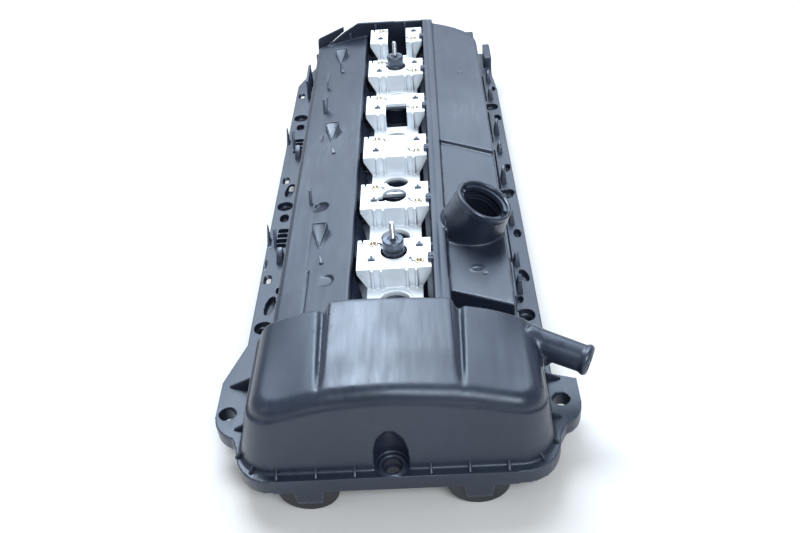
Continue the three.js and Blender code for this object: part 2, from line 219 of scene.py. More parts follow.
def turned(start, direction, profile, sides=56):
    """A turned solid: profile is a list of (distance along, radius) from start."""
    start, direction = Vector(start), Vector(direction).normalized()
    turn = Vector((0, 0, 1)).rotation_difference(direction)
    rings = []
    for along, radius in profile:
        middle = start + direction * along
        rings.append([middle + turn @ Vector((x, y, 0)) for x, y in circle(radius, sides)])
    return loft(rings)


def rounded_rectangle(x0, x1, y0, y1, front, rear, steps=14):
    corners = (
        (x0 + front, y0 + front, front, 180), (x1 - front, y0 + front, front, 270),
        (x1 - rear, y1 - rear, rear, 0), (x0 + rear, y1 - rear, rear, 90),
    )
    points = []
    for cx, cy, radius, start in corners:
        for i in range(steps + 1):
            angle = math.radians(start + 90 * i / steps)
            points.append((cx + radius * math.cos(angle), cy + radius * math.sin(angle)))
    return points


def drawing_copy(node):
    """A CAD node's mesh as a new object in drawing millimetres, with shared vertices merged."""
    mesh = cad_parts[node].data.copy()
    shape = bmesh.new()
    shape.from_mesh(mesh)
    bmesh.ops.remove_doubles(shape, verts=shape.verts, dist=2e-6)
    for vertex in shape.verts:
        vertex.co = (vertex.co - ORIGIN) / MM
    shape.to_mesh(mesh)
    shape.free()
    mesh.materials.clear()
    piece = bpy.data.objects.new("copy", mesh)
    bpy.context.scene.collection.objects.link(piece)
    return piece


def mould(piece, voxel, smoothing, most_faces):
    """Rounds every edge and inner corner a little, as a moulding or casting has them.

    Each smoothing is (iterations, region), where region marks the points it works on, or is None.
    """
    remesh = piece.modifiers.new("skin", "REMESH")
    remesh.mode = "VOXEL"
    remesh.voxel_size = voxel
    bake(piece)
    for iterations, region in smoothing:
        relax = piece.modifiers.new("relax", "SMOOTH")
        relax.factor = 0.5
        relax.iterations = iterations
        if region is not None:
            at = np.empty(len(piece.data.vertices) * 3)
            piece.data.vertices.foreach_get("co", at)
            inside = region(*at.reshape(-1, 3).T)
            piece.vertex_groups.new(name="soft").add(np.flatnonzero(inside).tolist(), 1.0, "REPLACE")
            relax.vertex_group = "soft"
        bake(piece)
        piece.vertex_groups.clear()
    faces = 2 * len(piece.data.polygons)
    if faces > most_faces:
        thin = piece.modifiers.new("thin", "DECIMATE")
        thin.ratio = most_faces / faces
        bake(piece)
    return piece


def place(piece, name, material, slot, *replaced, angle=40):
    piece.name = name
    piece.data.name = name
    piece.data.transform(Matrix.Translation(ORIGIN) @ Matrix.Scale(MM, 4))
    at = np.empty(len(piece.data.vertices) * 3)
    piece.data.vertices.foreach_get("co", at)
    at = np.clip(at.reshape(-1, 3), np.array(cad_low) + TINY, np.array(cad_high) - TINY)
    piece.data.vertices.foreach_set("co", at.ravel())
    piece.data.materials.clear()
    piece.data.materials.append(material)
    piece.data.polygons.foreach_set("use_smooth", [True] * len(piece.data.polygons))
    piece.data.set_sharp_from_angle(angle=math.radians(angle))
    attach(piece, "root")
    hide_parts(*replaced)
    return piece


# ---- materials ----


class Nodes:
    """Short forms for a procedural material's nodes."""

    def __init__(self, name):
        self.material = bpy.data.materials.new(name)
        self.material.use_nodes = True
        self.tree = self.material.node_tree
        self.shader = self.tree.nodes["Principled BSDF"]
        self.place = self.tree.nodes.new("ShaderNodeTexCoord").outputs["Object"]

    def node(self, kind, **values):
        made = self.tree.nodes.new(kind)
        for key, value in values.items():
            if hasattr(made, key):
                setattr(made, key, value)
            else:
                self.put(made.inputs[key.replace("_", " ")], value)
        return made

    def put(self, socket, value):
        if isinstance(value, bpy.types.NodeSocket):
            self.tree.links.new(value, socket)
        else:
            socket.default_value = value

    def noise(self, scale, detail=3.0, roughness=0.55, stretch=(1, 1, 1)):
        mapping = self.node("ShaderNodeMapping", Vector=self.place, Scale=stretch)
        made = self.node("ShaderNodeTexNoise", Vector=mapping.outputs[0], Scale=scale, Detail=detail,
                         Roughness=roughness)
        return made.outputs["Fac"]

    def ramp(self, value, low, high, from_low=0.3, from_high=0.7):
        made = self.node("ShaderNodeMapRange", Value=value)
        ends = {"From Min": from_low, "From Max": from_high, "To Min": low, "To Max": high}
        for socket, number in ends.items():
            made.inputs[socket].default_value = number
        return made.outputs[0]

    def mix(self, factor, first, second):
        made = self.tree.nodes.new("ShaderNodeMix")
        made.data_type = "RGBA"
        self.put(made.inputs["Factor"], factor)
        self.put(made.inputs["A"], first)
        self.put(made.inputs["B"], second)
        return made.outputs["Result"]

    def bump(self, height, strength, distance, below=None):
        made = self.node("ShaderNodeBump", Height=height, Strength=strength, Distance=distance)
        if below is not None:
            self.put(made.inputs["Normal"], below)
        return made.outputs[0]

    def set(self, **values):
        for key, value in values.items():
            self.put(self.shader.inputs[key.replace("_", " ")], value)


def edge_wear(nodes):
    """From 0 on flat surfaces to 1 along sharp outer edges, by the surface's own curvature."""
    pointiness = nodes.tree.nodes.new("ShaderNodeNewGeometry").outputs["Pointiness"]
    return nodes.ramp(pointiness, 0.0, 1.0, 0.515, 0.56)


def black_plastic():
    nodes = Nodes("black_plastic")
    cloud = nodes.noise(14.0, 4.0)
    grain = nodes.noise(900.0, 2.0)
    flow = nodes.noise(30.0, 3.0, stretch=(6, 0.6, 6))
    base = nodes.mix(nodes.ramp(cloud, 0, 1), (0.011, 0.015, 0.028, 1), (0.018, 0.024, 0.042, 1))
    worn = nodes.mix(edge_wear(nodes), base, (0.040, 0.050, 0.078, 1))
    patches = nodes.noise(11.0, 3.0, 0.6, (1, 0.7, 1))
    rough = nodes.ramp(nodes.mix(0.65, flow, patches), 0.24, 0.43, 0.36, 0.62)
    fine = nodes.bump(grain, 0.10, 0.0004)
    nodes.set(Base_Color=worn, Roughness=rough, Normal=nodes.bump(cloud, 0.06, 0.004, fine),
              Specular_IOR_Level=0.75, Specular_Tint=(0.82, 0.90, 1.0, 1))
    return nodes.material


def seal_rubber():
    nodes = Nodes("seal_rubber")
    grain = nodes.noise(700.0, 2.0)
    cloud = nodes.noise(40.0, 3.0)
    base = nodes.mix(nodes.ramp(cloud, 0, 1), (0.020, 0.021, 0.024, 1), (0.035, 0.037, 0.042, 1))
    nodes.set(Base_Color=base, Roughness=nodes.ramp(cloud, 0.55, 0.7),
              Normal=nodes.bump(grain, 0.15, 0.0004))
    return nodes.material


def cast_aluminium():
    nodes = Nodes("cast_aluminium")
    grain = nodes.noise(420.0, 3.0)
    cloud = nodes.noise(32.0, 4.0)
    streaks = nodes.noise(160.0, 3.0, stretch=(0.5, 7, 0.5))
    base = nodes.mix(nodes.ramp(cloud, 0, 1), (0.80, 0.86, 0.92, 1), (0.90, 0.94, 0.97, 1))
    rough = nodes.ramp(streaks, 0.26, 0.40)
    # Painted shade: an ambient occlusion mask darkens the base colour to near black in hollows, gaps
    # and under overhangs.
    painted_shade_ao = nodes.node("ShaderNodeAmbientOcclusion", Distance=0.03).outputs["AO"]
    base = nodes.mix(nodes.ramp(painted_shade_ao, 0, 1, 0.15, 0.55), (0.06, 0.07, 0.09, 1), base)
    nodes.set(Base_Color=base, Metallic=0.12, Roughness=rough, Normal=nodes.bump(grain, 0.12, 0.0004))
    return nodes.material


def brass():
    nodes = Nodes("brass")
    cloud = nodes.noise(200.0, 3.0)
    base = nodes.mix(nodes.ramp(cloud, 0, 1), (0.68, 0.60, 0.44, 1), (0.82, 0.76, 0.62, 1))
    nodes.set(Base_Color=base, Metallic=1.0, Roughness=nodes.ramp(cloud, 0.22, 0.36),
              Normal=nodes.bump(cloud, 0.08, 0.0003))
    return nodes.material


def plated_steel(name, dark, light, low, high):
    nodes = Nodes(name)
    cloud = nodes.noise(120.0, 3.0)
    lines = nodes.noise(900.0, 2.0, stretch=(1, 1, 0.05))
    base = nodes.mix(nodes.ramp(cloud, 0, 1), dark, light)
    nodes.set(Base_Color=base, Metallic=1.0, Roughness=nodes.ramp(lines, low, high),
              Normal=nodes.bump(lines, 0.06, 0.0002))
    return nodes.material


# ---- cover: the dome ----


def dome_walls(inset, z0, z1, levels=12):
    """The dome's four leaning walls, drawn in by inset, from z0 to z1."""
    def ring(z):
        rise = z - FLANGE_TOP
        front_corner = 28 - 0.12 * max(rise, 0) - inset / 2
        outline = rounded_rectangle(
            DOME_LEFT + LEFT_LEAN * rise + inset, DOME_RIGHT - RIGHT_LEAN * rise - inset,
            DOME_FRONT + FRONT_LEAN * rise + inset, DOME_REAR - REAR_LEAN * rise - inset,
            front_corner, 5,
        )
        return [(x, y, z) for x, y in outline]
    return loft([ring(z0 + (z1 - z0) * i / levels) for i in range(levels + 1)])


def soft_step(value, low, high):
    t = np.clip((value - low) / (high - low), 0, 1)
    return t * t * (3 - 2 * t)


# The roof beside the raised middle, then the raised middle: x, height at the front crease, at the rear.
ROOF_LINE = np.array([
    (-140, 66, 58), (-104, 72.5, 73), (-75, 77, 84), (-50, 84.5, 90.2), (0, 88, 92),
    (56, 83, 87.2), (82, 76.5, 80.5), (109, 71.5, 67.5), (140, 64, 56),
])
CREST_LINE = np.array([
    (-60, 85.6, 96), (-27, 87.4, 99), (12, 87.2, 98.2), (48, 84.6, 95.4), (70, 83, 93),
])
ROOF_FRONT, ROOF_LENGTH = 16, 91
RAISED_LEFT, RAISED_RIGHT = -45.6, 52
LEFT_GROOVE, RIGHT_GROOVE, GROOVE_DEPTH = -47.2, 53.6, 3.6
EDGE, REAR_EDGE, ROOF_CORNER = 11.5, 3, 22


def heights(line, x, back):
    front = np.interp(x, line[:, 0], line[:, 1])
    rear = np.interp(x, line[:, 0], line[:, 2])
    return front + (rear - front) * back


def roof_height(x, y):
    """The dome's roof: arched across, rising to the back, with a raised wedge in the middle.

    Its height falls in a quarter round towards the walls.
    """
    back = (y - ROOF_FRONT) / ROOF_LENGTH
    roof = sum(heights(ROOF_LINE, x + shift, back) for shift in (-9, -3, 3, 9)) / 4
    crest = sum(heights(CREST_LINE, x + shift, back) for shift in (-8, 0, 8)) / 3
    width = np.clip(2.2 + 3.4 * back, 1.2, 6)
    left = soft_step(x - RAISED_LEFT + width / 2, 0, width)
    right = soft_step(RAISED_RIGHT - x + width / 2, 0, width)
    roof = roof + np.maximum(crest - roof, 0) * left * right * soft_step(back, -0.02, 0.45)
    depth = GROOVE_DEPTH * soft_step(back, 0.0, 0.4)
    half = 2.4 + 3 * np.clip(back, 0, 1)
    for middle in (LEFT_GROOVE - half / 2, RIGHT_GROOVE + half / 2):
        across = np.clip((x - middle) / half, -1, 1)
        roof = roof - depth * (0.5 + 0.5 * np.cos(math.pi * across))
    rise = roof - FLANGE_TOP
    beside = np.minimum(x - DOME_LEFT - LEFT_LEAN * rise, DOME_RIGHT - RIGHT_LEAN * rise - x)
    ahead = y - DOME_FRONT - FRONT_LEAN * rise
    corner = ROOF_CORNER - np.hypot(
        np.maximum(ROOF_CORNER - beside, 0), np.maximum(ROOF_CORNER - ahead, 0))
    in_corner = (beside < ROOF_CORNER) & (ahead < ROOF_CORNER)
    inside = np.clip(np.where(in_corner, corner, np.minimum(beside, ahead)), 0, EDGE)
    behind = np.clip(DOME_REAR - REAR_LEAN * rise - y, 0, REAR_EDGE)
    round_front = EDGE - np.sqrt(EDGE ** 2 - (EDGE - inside) ** 2)
    round_rear = REAR_EDGE - np.sqrt(REAR_EDGE ** 2 - (REAR_EDGE - behind) ** 2)
    return roof - round_front - round_rear


def dome_roof(lowered):
    """A solid from z 0 up to the roof, lowered by a distance."""
    xs, ys = np.linspace(-130, 132, 240), np.linspace(2, 118, 116)
    grid_x, grid_y = np.meshgrid(xs, ys, indexing="ij")
    top = roof_height(grid_x, grid_y) - lowered
    count = len(ys)
    vertices = [(x, y, z) for x, y, z in zip(grid_x.ravel(), grid_y.ravel(), top.ravel())]
    low = len(vertices)
    vertices += [(x, y, 0.0) for x, y in zip(grid_x.ravel(), grid_y.ravel())]
    faces = []
    for i in range(len(xs) - 1):
        for j in range(count - 1):
            a = i * count + j
            faces.append((a, a + count, a + count + 1, a + 1))
            faces.append((low + a + 1, low + a + count + 1, low + a + count, low + a))
    rim = [i * count for i in range(len(xs))]
    rim += [(len(xs) - 1) * count + j for j in range(1, count)]
    rim += [i * count + count - 1 for i in range(len(xs) - 2, -1, -1)]
    rim += list(range(count - 2, 0, -1))
    for a, b in zip(rim, rim[1:] + rim[:1]):
        faces.append((a, low + a, low + b, b))
    return new_object("roof", vertices, faces)


def alcove(radius):
    """The arched pocket over the front bolt."""
    tall = radius + 12
    profile = [(0, radius + 0.6), (4, radius), (12, radius - 0.4)]
    for angle in np.radians([15, 30, 45, 60, 75, 88]):
        profile.append((12 + tall * math.sin(angle), (radius - 0.4) * math.cos(angle)))
    return turned((0, FRONT_BOLT_Y, FLANGE_TOP), (0, 0, 1), profile, 48)


def dome():
    outer = common(dome_walls(0, FLANGE_TOP - 1, 112), dome_roof(0))
    room = common(dome_walls(WALL, FLANGE_TOP - 2, 108), dome_roof(WALL))
    room = cut(room, alcove(ALCOVE_RADIUS + WALL))
    outer = cut(outer, room)
    return cut(outer, block(-100, -38, 98, 115, 10, 36), block(42, 100, 98, 115, 10, 29))


# ---- cover: spigot, neck and panels ----

BREATHER_ROOT = Vector((108, 95.3, 57.5))
BREATHER_END = Vector((154.8, 73, 51))
BREATHER_AXIS = (BREATHER_END - BREATHER_ROOT).normalized()
NECK_BASE = Vector((71, 245, 52))
NECK_RIM = Vector((86.3, 231.2, 98))
NECK_AXIS = (NECK_RIM - NECK_BASE).normalized()
RIM_FACING = Vector((0.43, -0.06, 0.9)).normalized()


def breather():
    length = (BREATHER_END - BREATHER_ROOT).length
    profile = [
        (0, 12.6), (6, 12.2), (12, 11.4), (length - 8, 11.0), (length - 6, 11.0), (length - 4.6, 12.2),
        (length - 3.2, 12.55), (length - 1.6, 12.1), (length - 0.5, 11.2), (length, 10.6),
    ]
    return turned(BREATHER_ROOT, BREATHER_AXIS, profile)


def breather_web():
    """A tapering web under the spigot ties it to the dome's wall."""
    def ring(out, z):
        back = 0.48 * (out - 124)
        return [(103, 95.5, z), (103, 76, z), (out, 81.8 - back, z), (out, 87.5 - back, z)]
    return loft([ring(112, 28), ring(124, 40), ring(136, 55)])


def neck_mouth(body):
    """Room in the neck's wall for the crisp rim."""
    return cut(body, turned(NECK_RIM - RIM_FACING * 6.4, RIM_FACING, [(0, 23.9), (20, 23.9)], 72))


def neck_rim():
    """The filler's rim: a sharp lip, a bayonet shelf with two notches, and ridges in the bore."""
    def disc(depth, profile, axis=RIM_FACING):
        return turned(NECK_RIM - axis * depth, axis, profile, 96)
    rim = disc(7.4, [(0, 25.0), (0.6, 25.5), (4.4, 25.9), (6.5, 25.9), (7.4, 25.0)])
    rim = cut(rim, disc(2.8, [(0, 22.4), (1.8, 22.6), (2.9, 23.9)]), disc(9, [(0, 19.4), (14, 19.4)]))
    across = RIM_FACING.cross(Vector((0.5, 1, 0))).normalized()
    middle = NECK_RIM - RIM_FACING * 3.4
    for side in (1, -1):
        rim = cut(rim, turned(middle + across * 18 * side, across * side, [(0, 5.5), (4.6, 5.5)], 20))
    ridges = [cut(disc(d, [(0, 22), (1.6, 22)], NECK_AXIS), disc(d + 1, [(0, 20), (4, 20)], NECK_AXIS))
              for d in (13, 17, 21, 25)]
    return [rim] + ridges


def ellipse(x, y, long, wide, turn=0.0):
    turn = math.radians(turn)
    points = []
    for u, v in circle(1, ELLIPSE_SIDES):
        u, v = u * wide, v * long
        points.append((x + u * math.cos(turn) - v * math.sin(turn),
                       y + u * math.sin(turn) + v * math.cos(turn)))
    return points


PANEL_LEFT, PANEL_WIDTH = -97, 61
PANEL_LOW, PANEL_RISE = 44, 12


def panel_top(x):
    """Height of the left panel, which rises towards the middle."""
    return PANEL_LOW + PANEL_RISE * (x - PANEL_LEFT) / PANEL_WIDTH


def panel_groove(points, width, depth):
    """A groove along a line of (x, y) points on the left panel."""
    left = [(x - width / 2, y) for x, y in points]
    right = [(x + width / 2, y) for x, y in reversed(points)]
    outline = right[::-1] + left[::-1]
    low = [(x, y, panel_top(x) - depth) for x, y in outline]
    high = [(x, y, panel_top(x) + 6) for x, y in outline]
    return loft([low, high])


def panel_dish(x, y):
    """A round dish whose floor falls to the rear."""
    def ring(radius, front, rear):
        return [(u, v, panel_top(u) - front - (rear - front) * (v - y + 8) / 16)
                for u, v in ellipse(x, y, radius, radius)]
    return loft([ring(7.6, 0.4, 3.6), ring(8.2, -6, -6)])


def panel_marks():
    """Seams, a round recess and small steps in the left panel."""
    return joined([
        panel_groove([(-75.2, 113), (-75, 206)], 1.8, 1.8),
        panel_groove([(-76.6, 212), (-77.4, 300), (-78.4, 400), (-79.8, 512), (-80.8, 600)], 1.6, 1.5),
        panel_dish(-70.5, 305),
        prism(ellipse(-58, 187, 7.5, 7.5), panel_top(-58) - 1.2, 70),
        block(-99, -77.5, 178, 179.4, 40, 60),
    ])


def rail_grooves():
    """Two long grooves: one in the rail's top, one between the rail and the box."""
    return joined([
        along_y([(43.2, 71), (45.4, 71), (45.4, 80), (43.2, 80)], 116, 684),
        along_y([(50.2, 58), (52, 58), (52, 80), (50.2, 80)], 158, 683),
    ])


# Dark pockets in the flange: middle x, y, half length, half width, turn in degrees.
FLANGE_POCKETS = (
    (-114.8, 392, 13, 4.2, -8), (-114.5, 201, 13, 4.2, -8), (-115.5, 530, 7, 4.4, 0),
    (-115.5, 340, 7, 4.4, 0), (-108.5, 222, 5, 2.4, 0), (-110.5, 640, 8, 3.4, -12),
    (122.4, 600, 6, 3.2, 0), (122.8, 526, 7, 3.2, 10), (122.8, 413, 8, 3.4, -12),
    (122.4, 366, 5, 3.6, 20), (122, 292, 7, 3.2, 0), (121.4, 226, 9, 3.6, 14),
    (113, 192, 5, 3.4, -20),
)
LADDERS = ((-114, 486, 17), (-114, 305, 17))

RIGHT_CHANNELS = ((120, 160), (205, 340), (372, 452), (468, 540), (568, 636))


def flange_pockets():
    tools = [prism(ellipse(x, y, long, wide, turn), 7, 40) for x, y, long, wide, turn in FLANGE_POCKETS]
    tools += [block(109.6, 112.4, y0, y1, 7.5, 30) for y0, y1 in RIGHT_CHANNELS]
    for y in CLIP_SLOTS:
        tools += [
            block(-124.2, -118, y - 4.5, y + 7.5, -2, 20),
            block(-125.4, -116.6, y - 4.5, y + 34, -2, 11.4),
        ]
    for x, y, half in LADDERS:
        step = 2 * half / 4
        tools += [block(x - 5, x + 4.5, y - half + i * step + 1, y - half + (i + 1) * step - 1, 6, 40)
                  for i in range(4)]
    return joined(tools)


def nub(x, y, z, wide, long, tall):
    """A low oval bump."""
    rings = [[(px, py, z - 2) for px, py in ellipse(x, y, long, wide)]]
    for angle in np.radians([0, 20, 40, 60, 78]):
        shrink = math.cos(angle)
        rings.append([(px, py, z + tall * math.sin(angle)) for px, py in
                      ellipse(x, y, long * shrink, wide * shrink)])
    return loft(rings)


def bolt_boss(body):
    """The front bolt's boss and its open hole."""
    boss = turned((0, FRONT_BOLT_Y, 6), (0, 0, 1), [(-5, 10.6), (8.6, 10.6), (9.6, 9.7)], 48)
    hole = turned((0, FRONT_BOLT_Y, -2), (0, 0, 1), [
        (0, 7.2), (2.4, 7.2), (3, 5.9), (7, 5.9), (7.4, 6.4), (10, 7.4), (16.6, 7.7), (18.4, 8.8),
    ], 48)
    return cut(add(body, boss), hole)


def dimple(x, y, z, radius):
    return turned((x, y, z), (0, 0, 1), [(-1.4, radius * 0.4), (1, radius)], 28)


def body_shell():
    body = drawing_copy("cover_shell")
    body = cut(body, block(-135, 135, -1, DOME_REAR - 0.4, FLANGE_TOP + 0.02, 125))
    body = cut(body, block(100, 175, 50, 112, 30, 90))
    body = cut(body, joined([block(-77.5, -58.5, y - 13, y + 22, panel_top(-58), 60) for y in GUIDES]))
    body = add(body, dome(), breather(), breather_web())
    body = cut(body, alcove(ALCOVE_RADIUS),
               turned(BREATHER_ROOT + BREATHER_AXIS * 3, BREATHER_AXIS, [(0, 8.8), (60, 9)]),
               turned((99, 98, 57), (16, -5.6, -0.3), [(0, 6), (16, 6)], 24))
    body = cut(body, panel_marks(), rail_grooves(), flange_pockets())
    body = add(body, nub(75.4, 181.5, 61.5, 5.2, 3.4, 1.7), joined([
        nub(-126.4, 262, 13.5, 1.6, 8, 3), nub(-99, 118, 44, 3, 4, 2),
    ]))
    body = cut(body, dimple(81.8, 174.6, 61.5, 2.4), dimple(79, 535, 71, 3.4))
    return bolt_boss(neck_mouth(body))


def soft_dome(x, y, z):
    return (y < 103) & (z > 66) & (np.abs(x + 47.5) > 7) & (np.abs(x - 54) > 7)


def soft_alcove(x, y, z):
    return (np.abs(x) < 23) & (y < 34) & (z > FLANGE_TOP + 3) & (z < 60)


def soft_spigot(x, y, z):
    return (x > 101) & (x < 121) & (y > 60) & (y < 108) & (z > 30) & (z < 68)


def cover(material):
    smoothing = [(3, None), (14, soft_dome), (16, soft_alcove), (24, soft_spigot)]
    body = mould(body_shell(), COVER_VOXEL, smoothing, COVER_FACES)
    return place(body, "cover_body", material, "black_plastic", "cover_shell", angle=70)


# ---- cover: ribs, guides and clips that stay crisp ----


def gusset(inner, outer, tall=6.5):
    """A small triangular rib from the dome's foot to the flange's edge."""
    inner, outer = Vector((*inner, 0)), Vector((*outer, 0))
    side = (outer - inner).cross(Vector((0, 0, 1))).normalized() * GUSSET_THICKNESS / 2
    low, high = Vector((0, 0, FLANGE_TOP - 0.8)), Vector((0, 0, FLANGE_TOP + tall))
    lip = Vector((0, 0, FLANGE_TOP + 0.9))
    return loft([
        [inner + low + shift, outer + low + shift, outer + lip + shift, inner + high + shift]
        for shift in (side, -side)
    ])


def round_gusset(centre, outer):
    """A gusset at a rounded corner, square to it."""
    away = (Vector(outer) - Vector(centre)).normalized()
    return gusset(Vector(centre) + away * CORNER_FOOT, outer)


def dome_gussets():
    front = [gusset((x, 8.6), (x, 1.2), 5.5) for x in (-86.4, -56.9, -27.8, 28.8, 57.5, 86.4)]
    left, right = (-88, 35.4), (94, 35.4)
    corners = [round_gusset(left, p) for p in ((-107.5, 8.5), (-120.5, 24.5))]
    corners += [round_gusset(right, p) for p in ((113.5, 9), (126, 26))]
    sides = [
        gusset((-116, 53), (-125.5, 53)), gusset((121.5, 51.5), (131.5, 51.5)),
        gusset((-115.5, 97), (-136, 100), 13), gusset((121, 92), (136, 92), 9),
    ]
    return front + corners + sides


def cable_guide(y):
    """A triangular scoop that stands on the left panel, with a thin rim."""
    def ring(inset, rear, front):
        return [
            (-75.5 + inset, y + 20 - inset, rear), (-67 + 0.2 * inset, y - 12 + 2.4 * inset, front),
            (-60 - inset, y + 20 - inset, rear + 1),
        ]
    return loft([ring(-0.4, 43, 45), ring(0.1, 58.5, 50), ring(1.3, 58.5, 50), ring(1.5, 57.3, 49.2)])


def left_clips():
    """Small hooks, fins and triangular stops on the left panel."""
    pieces = []
    for y in (213, 404, 596):
        pieces.append(loft([
            [(-66, y + 14, 46), (-65.5, y - 2, 47), (-59.5, y - 2, 47)],
            [(-65.3, y + 11, 55), (-65, y - 1, 52), (-61, y - 1, 52)],
        ]))
    pieces.append(along_x([(310, 44), (314, 44), (322, 60), (319, 60)], -82.5, -79.5))
    pieces.append(along_x([(498, 44), (503, 44), (511, 61), (507, 61)], -81.5, -76.5))
    pieces.append(along_x([(556, 44), (560, 44), (566, 56), (563, 56)], -81, -78.8))
    pieces.append(along_x([(596, 46), (600, 46), (606, 60), (603, 60)], -66.5, -64))
    return pieces


def left_flange_clips():
    """Hose clips along the left edge: feet, blades, and a barred frame at the rear."""
    pieces = []
    for y in (268, 462):
        pieces.append(loft([
            [(-115.5, y - 6, 13), (-108, y - 6, 13), (-108, y + 7, 13), (-115.5, y + 7, 13)],
            [(-114.5, y - 2, 22), (-109, y - 2, 22), (-109, y + 6, 26), (-114.5, y + 6, 26)],
        ]))
        pieces.append(along_x([(y + 20, 13), (y + 24, 13), (y + 34, 30), (y + 30, 30)], -120.5, -117.5))
    for y in (606, 628, 648):
        pieces.append(loft([
            [(-113, y - 3, 13), (-109, y - 3, 13), (-109, y + 4, 13), (-113, y + 4, 13)],
            [(-112, y, 36), (-110, y, 36), (-110, y + 3, 38), (-112, y + 3, 38)],
        ]))
    pieces.append(block(-112.6, -109.6, 604, 652, 34, 37.5))
    return pieces


def right_clips():
    """The thin wall between box and flange, its breaks, and the small posts beyond it."""
    pieces = []
    for y0, y1, top in ((118, 160, 30), (166, 215, 42), (222, 330, 40), (338, 452, 36),
                        (460, 560, 34), (568, 640, 34)):
        pieces.append(along_x([(y0, 12), (y1, 12), (y1 - 3, top), (y0 + 4, top - 5)], 106.6, 109))
    for x, y, tall in ((115, 205, 26), (116.5, 244, 22), (118, 310, 24), (117, 386, 28),
                       (118.5, 448, 22), (118.5, 490, 27), (118, 575, 25), (119, 622, 24)):
        pieces.append(loft([
            [(x - 3.5, y - 6, 12), (x + 3, y - 6, 12), (x + 3, y + 7, 12), (x - 3.5, y + 7, 12)],
            [(x - 1.5, y - 1, tall), (x + 1.5, y - 1, tall),
             (x + 2, y + 5, tall + 3), (x - 1.5, y + 5, tall + 3)],
        ]))
    return pieces


def rear_ribs():
    """Upright ribs on the rear wall."""
    return [block(x, x + 2.4, 684.5, 688, 24, top) for x, top in ((-24, 72), (14, 72), (-58, 62))]


def seal_tabs():
    """Tapered tabs in front of the seal's two lobes."""
    def outline(x, y):
        return [(x - 9.4, y, -13.4), (x + 9.4, y, -13.4), (x + 12, y, 1), (x - 12, y, 1)]
    return [loft([outline(x, y) for y in (1.9, 0.05)]) for x in (-64, 64)]


def plate_fingers():
    """Black fingers on the rail that reach over each plate."""
    pieces = []
    for unit in UNITS:
        y = PLATE_FRONT + PITCH * unit + 11
        low = PLATE_TOP + 0.3
        section = [(y - 4.5, low), (y + 6.4, low), (y + 6.4, low + 0.8), (y - 4.5, low + 3.6)]
        pieces.append(along_x(section, 33.4, 39.5))
        pieces.append(block(36.6, 39.5, y + 17, y + 21, PLATE_TOP - 6, PLATE_TOP + 2))
    return pieces


def stake_heads():
    """Three-lobed heads of the heat stakes."""
    pieces = []
    for unit in UNITS:
        front = PLATE_FRONT + PITCH * unit
        for u, v in ((-19.5, 14), (22.5, 32)):
            x, y = PLATE_MIDDLE + u, front + v
            outline = []
            for i in range(36):
                angle = math.tau * i / 36
                radius = 2.5 + 1.15 * math.cos(3 * angle + math.pi / 2)
                outline.append((x + radius * math.cos(angle), y + radius * math.sin(angle)))
            pieces.append(prism(outline, PLATE_TOP - 0.4, PLATE_TOP + 1.5))
    return pieces


def trims(material):
    groups = {
        "cover_filler_rim": neck_rim(),
        "cover_gussets": dome_gussets(), "cover_guides": [cable_guide(y) for y in GUIDES],
        "cover_panel_clips": left_clips(), "cover_flange_clips": left_flange_clips(),
        "cover_right_clips": right_clips(), "cover_rear_ribs": rear_ribs(),
        "cover_seal_tabs": seal_tabs(), "cover_fingers": plate_fingers(),
        "cover_stake_heads": stake_heads(),
    }
    for name, pieces in groups.items():
        piece = bevelled(joined(pieces), TRIM_BEVEL)
        place(piece, name, material, "black_plastic", "cover_shell", angle=50)


# ---- coil plates and small parts ----


def hook_slot(x, y, mirror):
    """A short curved slot beside an insert."""
    line = [(4.6, 0.6), (6.6, -0.4), (7.8, -2.6), (8, -6)]
    left, right = [], []
    for i, (u, v) in enumerate(line):
        ahead = Vector(line[min(i + 1, 3)]) - Vector(line[max(i - 1, 0)])
        across = Vector((-ahead.y, ahead.x)).normalized() * (0.9 + 0.12 * i)
        left.append((x + mirror * (u + across.x), y + mirror * (v + across.y)))
        right.append((x + mirror * (u - across.x), y + mirror * (v - across.y)))
    return prism(right + left[::-1], PLATE_TOP - 2.4, PLATE_TOP + 3)


def coil_plate(unit, material):
    node = f"coil_plate_{unit + 1}"
    front = PLATE_FRONT + PITCH * unit
    body = drawing_copy(node)
    low, high = PLATE_TOP - 2.4, PLATE_TOP + 3
    x = PLATE_MIDDLE
    tools = [
        block(x - 31.5, x - 24.5, front + 36.8, front + 38.2, low, high),
        block(x - 28.8, x - 27.4, front + 38.1, front + 43.5, low, high),
        hook_slot(x - 18.5, front + 36.5, 1),
    ]
    body = cut(body, *tools)
    body = cut(body, hook_slot(x + 22, front + 10, -1))
    if unit in (0, 1, 4):
        centre = front - 20
        rim = revolved(x, centre, [(13.4, 48.6), (16.2, 48.6), (16, 50.4), (13.8, 50.4)])
        body = add(body, rim)
    body = mould(body, PLATE_VOXEL, [(2, None)], PLATE_FACES)
    return place(body, f"plate_{unit + 1}_cast", material, "cast_aluminium", node)


def extent(node):
    """A CAD node's middle, bottom and top in drawing millimetres."""
    low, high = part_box(node)
    middle = ((low + high) / 2 - ORIGIN) / MM
    return middle, (low.z - ORIGIN.z) / MM, (high.z - ORIGIN.z) / MM


def insert_ring(node, material):
    """A brass insert with a chamfered mouth and rings in its bore for a thread."""
    middle, bottom, top = extent(node)
    outline = [(3.6, bottom), (3.95, bottom + 0.4), (3.95, top - 0.35), (3.65, top), (3.1, top)]
    height = top - 0.5
    while height > bottom + 0.8:
        outline += [(2.72, height), (2.5, height - 0.35)]
        height -= 0.7
    outline.append((3.0, bottom))
    ring = revolved(middle.x, middle.y, outline, 40)
    return place(ring, f"{node}_turned", material, "brass", node)


